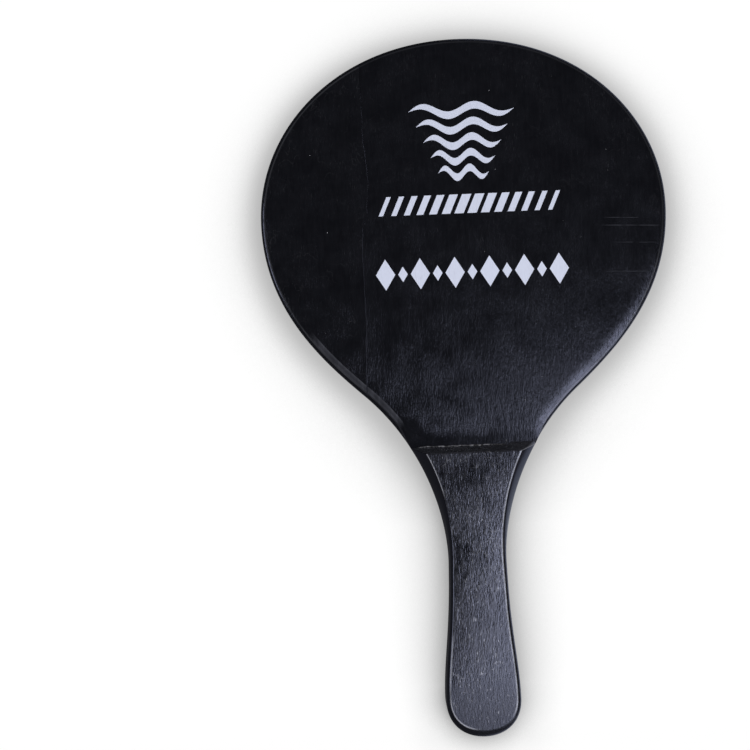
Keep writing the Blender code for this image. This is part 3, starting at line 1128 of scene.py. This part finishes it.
glueAndPaintedHighlight = makeGlueAndHighlight()
makeBeads(glueAndPaintedHighlight)
makeNibs(glueAndPaintedHighlight)
makeJointRidge()
print("beads, nibs and joint ridge grown")


# Floor, lamps and camera
studio = {
    "floorSize": 5.0,
    "floorDrop": 0.05 * mm,
    "floorColour": (0.08, 0.08, 0.08, 1),
    "floorRoughness": 0.9,
    "floorGloss": 0.1,
    "fade": (0.35, 1.3),  # far from the racket the floor turns into the backdrop's white
    "dark": 0.08,  # the room's light on everything
    "reflected": ((0.10, 0.10, 0.11, 1), (0.52, 0.56, 0.68, 1)),  # what gloss shows of the floor: painted dark, and pale where below, for the racket's painted reflections
    "paleSide": (-10 * mm, 20 * mm),  # it is pale on this side of the racket,
    "paleNeck": (-10 * mm, 20 * mm),  # above the neck,
    "paleEdge": (105 * mm, 75 * mm),  # or right of the handle and nearer than the blade's edge
    "softboxes": {  # azimuth from +X, angle off the vertical, distance, side, light on the floor
        "key": (-49, 30, 1.13, 0.60, 0.27),
        "keyCore": (-25, 18, 1.13, 0.30, 0.054),
        "left": (180, 56, 2.2, 1.0, 0.11),
        "nearLeft": (215, 56, 2.2, 1.0, 0.11),
        "nearMiddle": (250, 56, 2.2, 1.0, 0.10),
        "near": (285, 56, 2.2, 1.0, 0.10),
        "nearRight": (320, 56, 2.2, 1.0, 0.11),
        "far": (90, 50, 2.2, 2.4, 0.10),
    },
    "mirrored": ("key", "keyCore", "left", "nearRight"),  # the softboxes that gloss shows
}
shade = {  # of the floor's glow: from and to, on the open share of the sky or along Y, and their tones
    "reach": 250 * mm,
    "handle": (0.45, 0.93, 0.32, 0.95),  # the shade is narrower along the handle
    "bladeOpen": (0.5, 1.0),
    "bladeCurve": 3.0,
    "blade": (0.0, 0.8, 0.45, 0.96),
    "neck": (-45 * mm, 5 * mm),
    "tip": (90 * mm, 190 * mm, 1.0, 0.5),  # half as much of the blade's shade at the tip
    "butt": (25 * mm, -5 * mm, 1.0, 1.7),  # deeper there
}
photo = {
    "frameWidth": 415.7 * mm,  # across the picture, at the racket's widest outline
    "distance": 0.90,
    "roll": math.radians(2.33),
    "offset": (-52.8 * mm, 6.2 * mm),  # from the racket's middle to the picture's, right and up in it
}


def floorShade(vector, place):
    y = place["Y"]
    sky = addNode(treeOf(vector), "ShaderNodeAmbientOcclusion", {"Distance": shade["reach"]}, "AO")
    below = spread(sky, *shade["handle"])
    above = spread(calc("POWER", spread(sky, *shade["bladeOpen"]), shade["bladeCurve"]), *shade["blade"])
    height = times(spread(y, *(neckY + part for part in shade["neck"])), spread(y, *shade["tip"]))
    high, low, least, most = shade["butt"]
    deeper = spread(y, buttY + high, buttY + low, least, most)
    return minus(1.0, times(minus(1.0, mixColours(height, below, above)), deeper), True)


def makeFloor():
    half = studio["floorSize"] / 2
    low = cadBox[0][2] - studio["floorDrop"]
    mesh = bpy.data.meshes.new("floor")
    mesh.from_pydata([(-half, -half, low), (half, -half, low), (half, half, low), (-half, half, low)], [],
                     [(0, 1, 2, 3)])
    material, tree, surface, vector = startMaterial("paleFloor")
    seen = addNode(tree, "ShaderNodeLightPath", output="Is Camera Ray")
    place = splitXYZ(vector)
    beside = larger(spread(place["Y"], *(neckY + part for part in studio["paleNeck"])),
                    spread(place["X"], *studio["paleEdge"]))
    pale = times(spread(place["X"], *studio["paleSide"]), beside)
    away = addNode(tree, "ShaderNodeVectorMath", {0: vector}, "Value", operation="LENGTH")
    away = spread(away, *studio["fade"])
    black = (0, 0, 0, 1)
    white = (1, 1, 1, 1)
    colour = mixColours(away, studio["floorColour"], black)
    glow = mixColours(away, mixColours(floorShade(vector, place), black, white), white)
    feed(surface, {
        "Base Color": mixColours(seen, mixColours(pale, *studio["reflected"]), colour),
        "Emission Color": mixColours(seen, black, glow), "Emission Strength": 1.0,
        "Roughness": studio["floorRoughness"], "Specular IOR Level": studio["floorGloss"]})
    mesh.materials.append(material)
    floor = newObject("floor", mesh)


def makeRoom():
    world = bpy.data.worlds.new("room")
    world.use_nodes = True
    seen = addNode(world.node_tree, "ShaderNodeLightPath", output="Is Camera Ray")
    feed(world.node_tree.nodes["Background"], {
        "Strength": spread(seen, 0.0, 1.0, studio["dark"], 1.0), "Color": (1, 1, 1, 1)})
    bpy.context.scene.world = world


def makeSoftboxes():
    for name, (azimuth, lean, distance, side, share) in studio["softboxes"].items():
        turn = math.radians(azimuth)
        lean = math.radians(lean)
        toLamp = Vector((math.cos(turn) * math.sin(lean), math.sin(turn) * math.sin(lean), math.cos(lean)))
        lamp = bpy.data.lights.new(name, "AREA")
        lamp.shape = "SQUARE"
        lamp.size = side
        lamp.energy = share * (math.pi * distance) ** 2 / math.cos(lean)
        item = newObject(name, lamp)
        item.location = toLamp * distance
        item.rotation_euler = toLamp.to_track_quat("Z", "Y").to_euler()
        item.visible_camera = False
        item.visible_glossy = name in studio["mirrored"]


def makeCamera():
    lens = bpy.data.cameras.new("camera")
    lens.angle = 2 * math.atan(photo["frameWidth"] / 2 / photo["distance"])
    lens.clip_start = 0.01
    camera = newObject("camera", lens)
    roll = photo["roll"]
    right = Vector((math.cos(roll), -math.sin(roll), 0))
    up = Vector((math.sin(roll), math.cos(roll), 0))
    across, along = photo["offset"]
    camera.location = right * across + up * along + Vector((0, 0, blankMiddle + photo["distance"]))
    camera.rotation_euler = (0, 0, -roll)
    bpy.context.scene.camera = camera


makeFloor()
makeRoom()
makeSoftboxes()
makeCamera()
bpy.context.scene.view_settings.view_transform = "Standard"
print("studio ready")
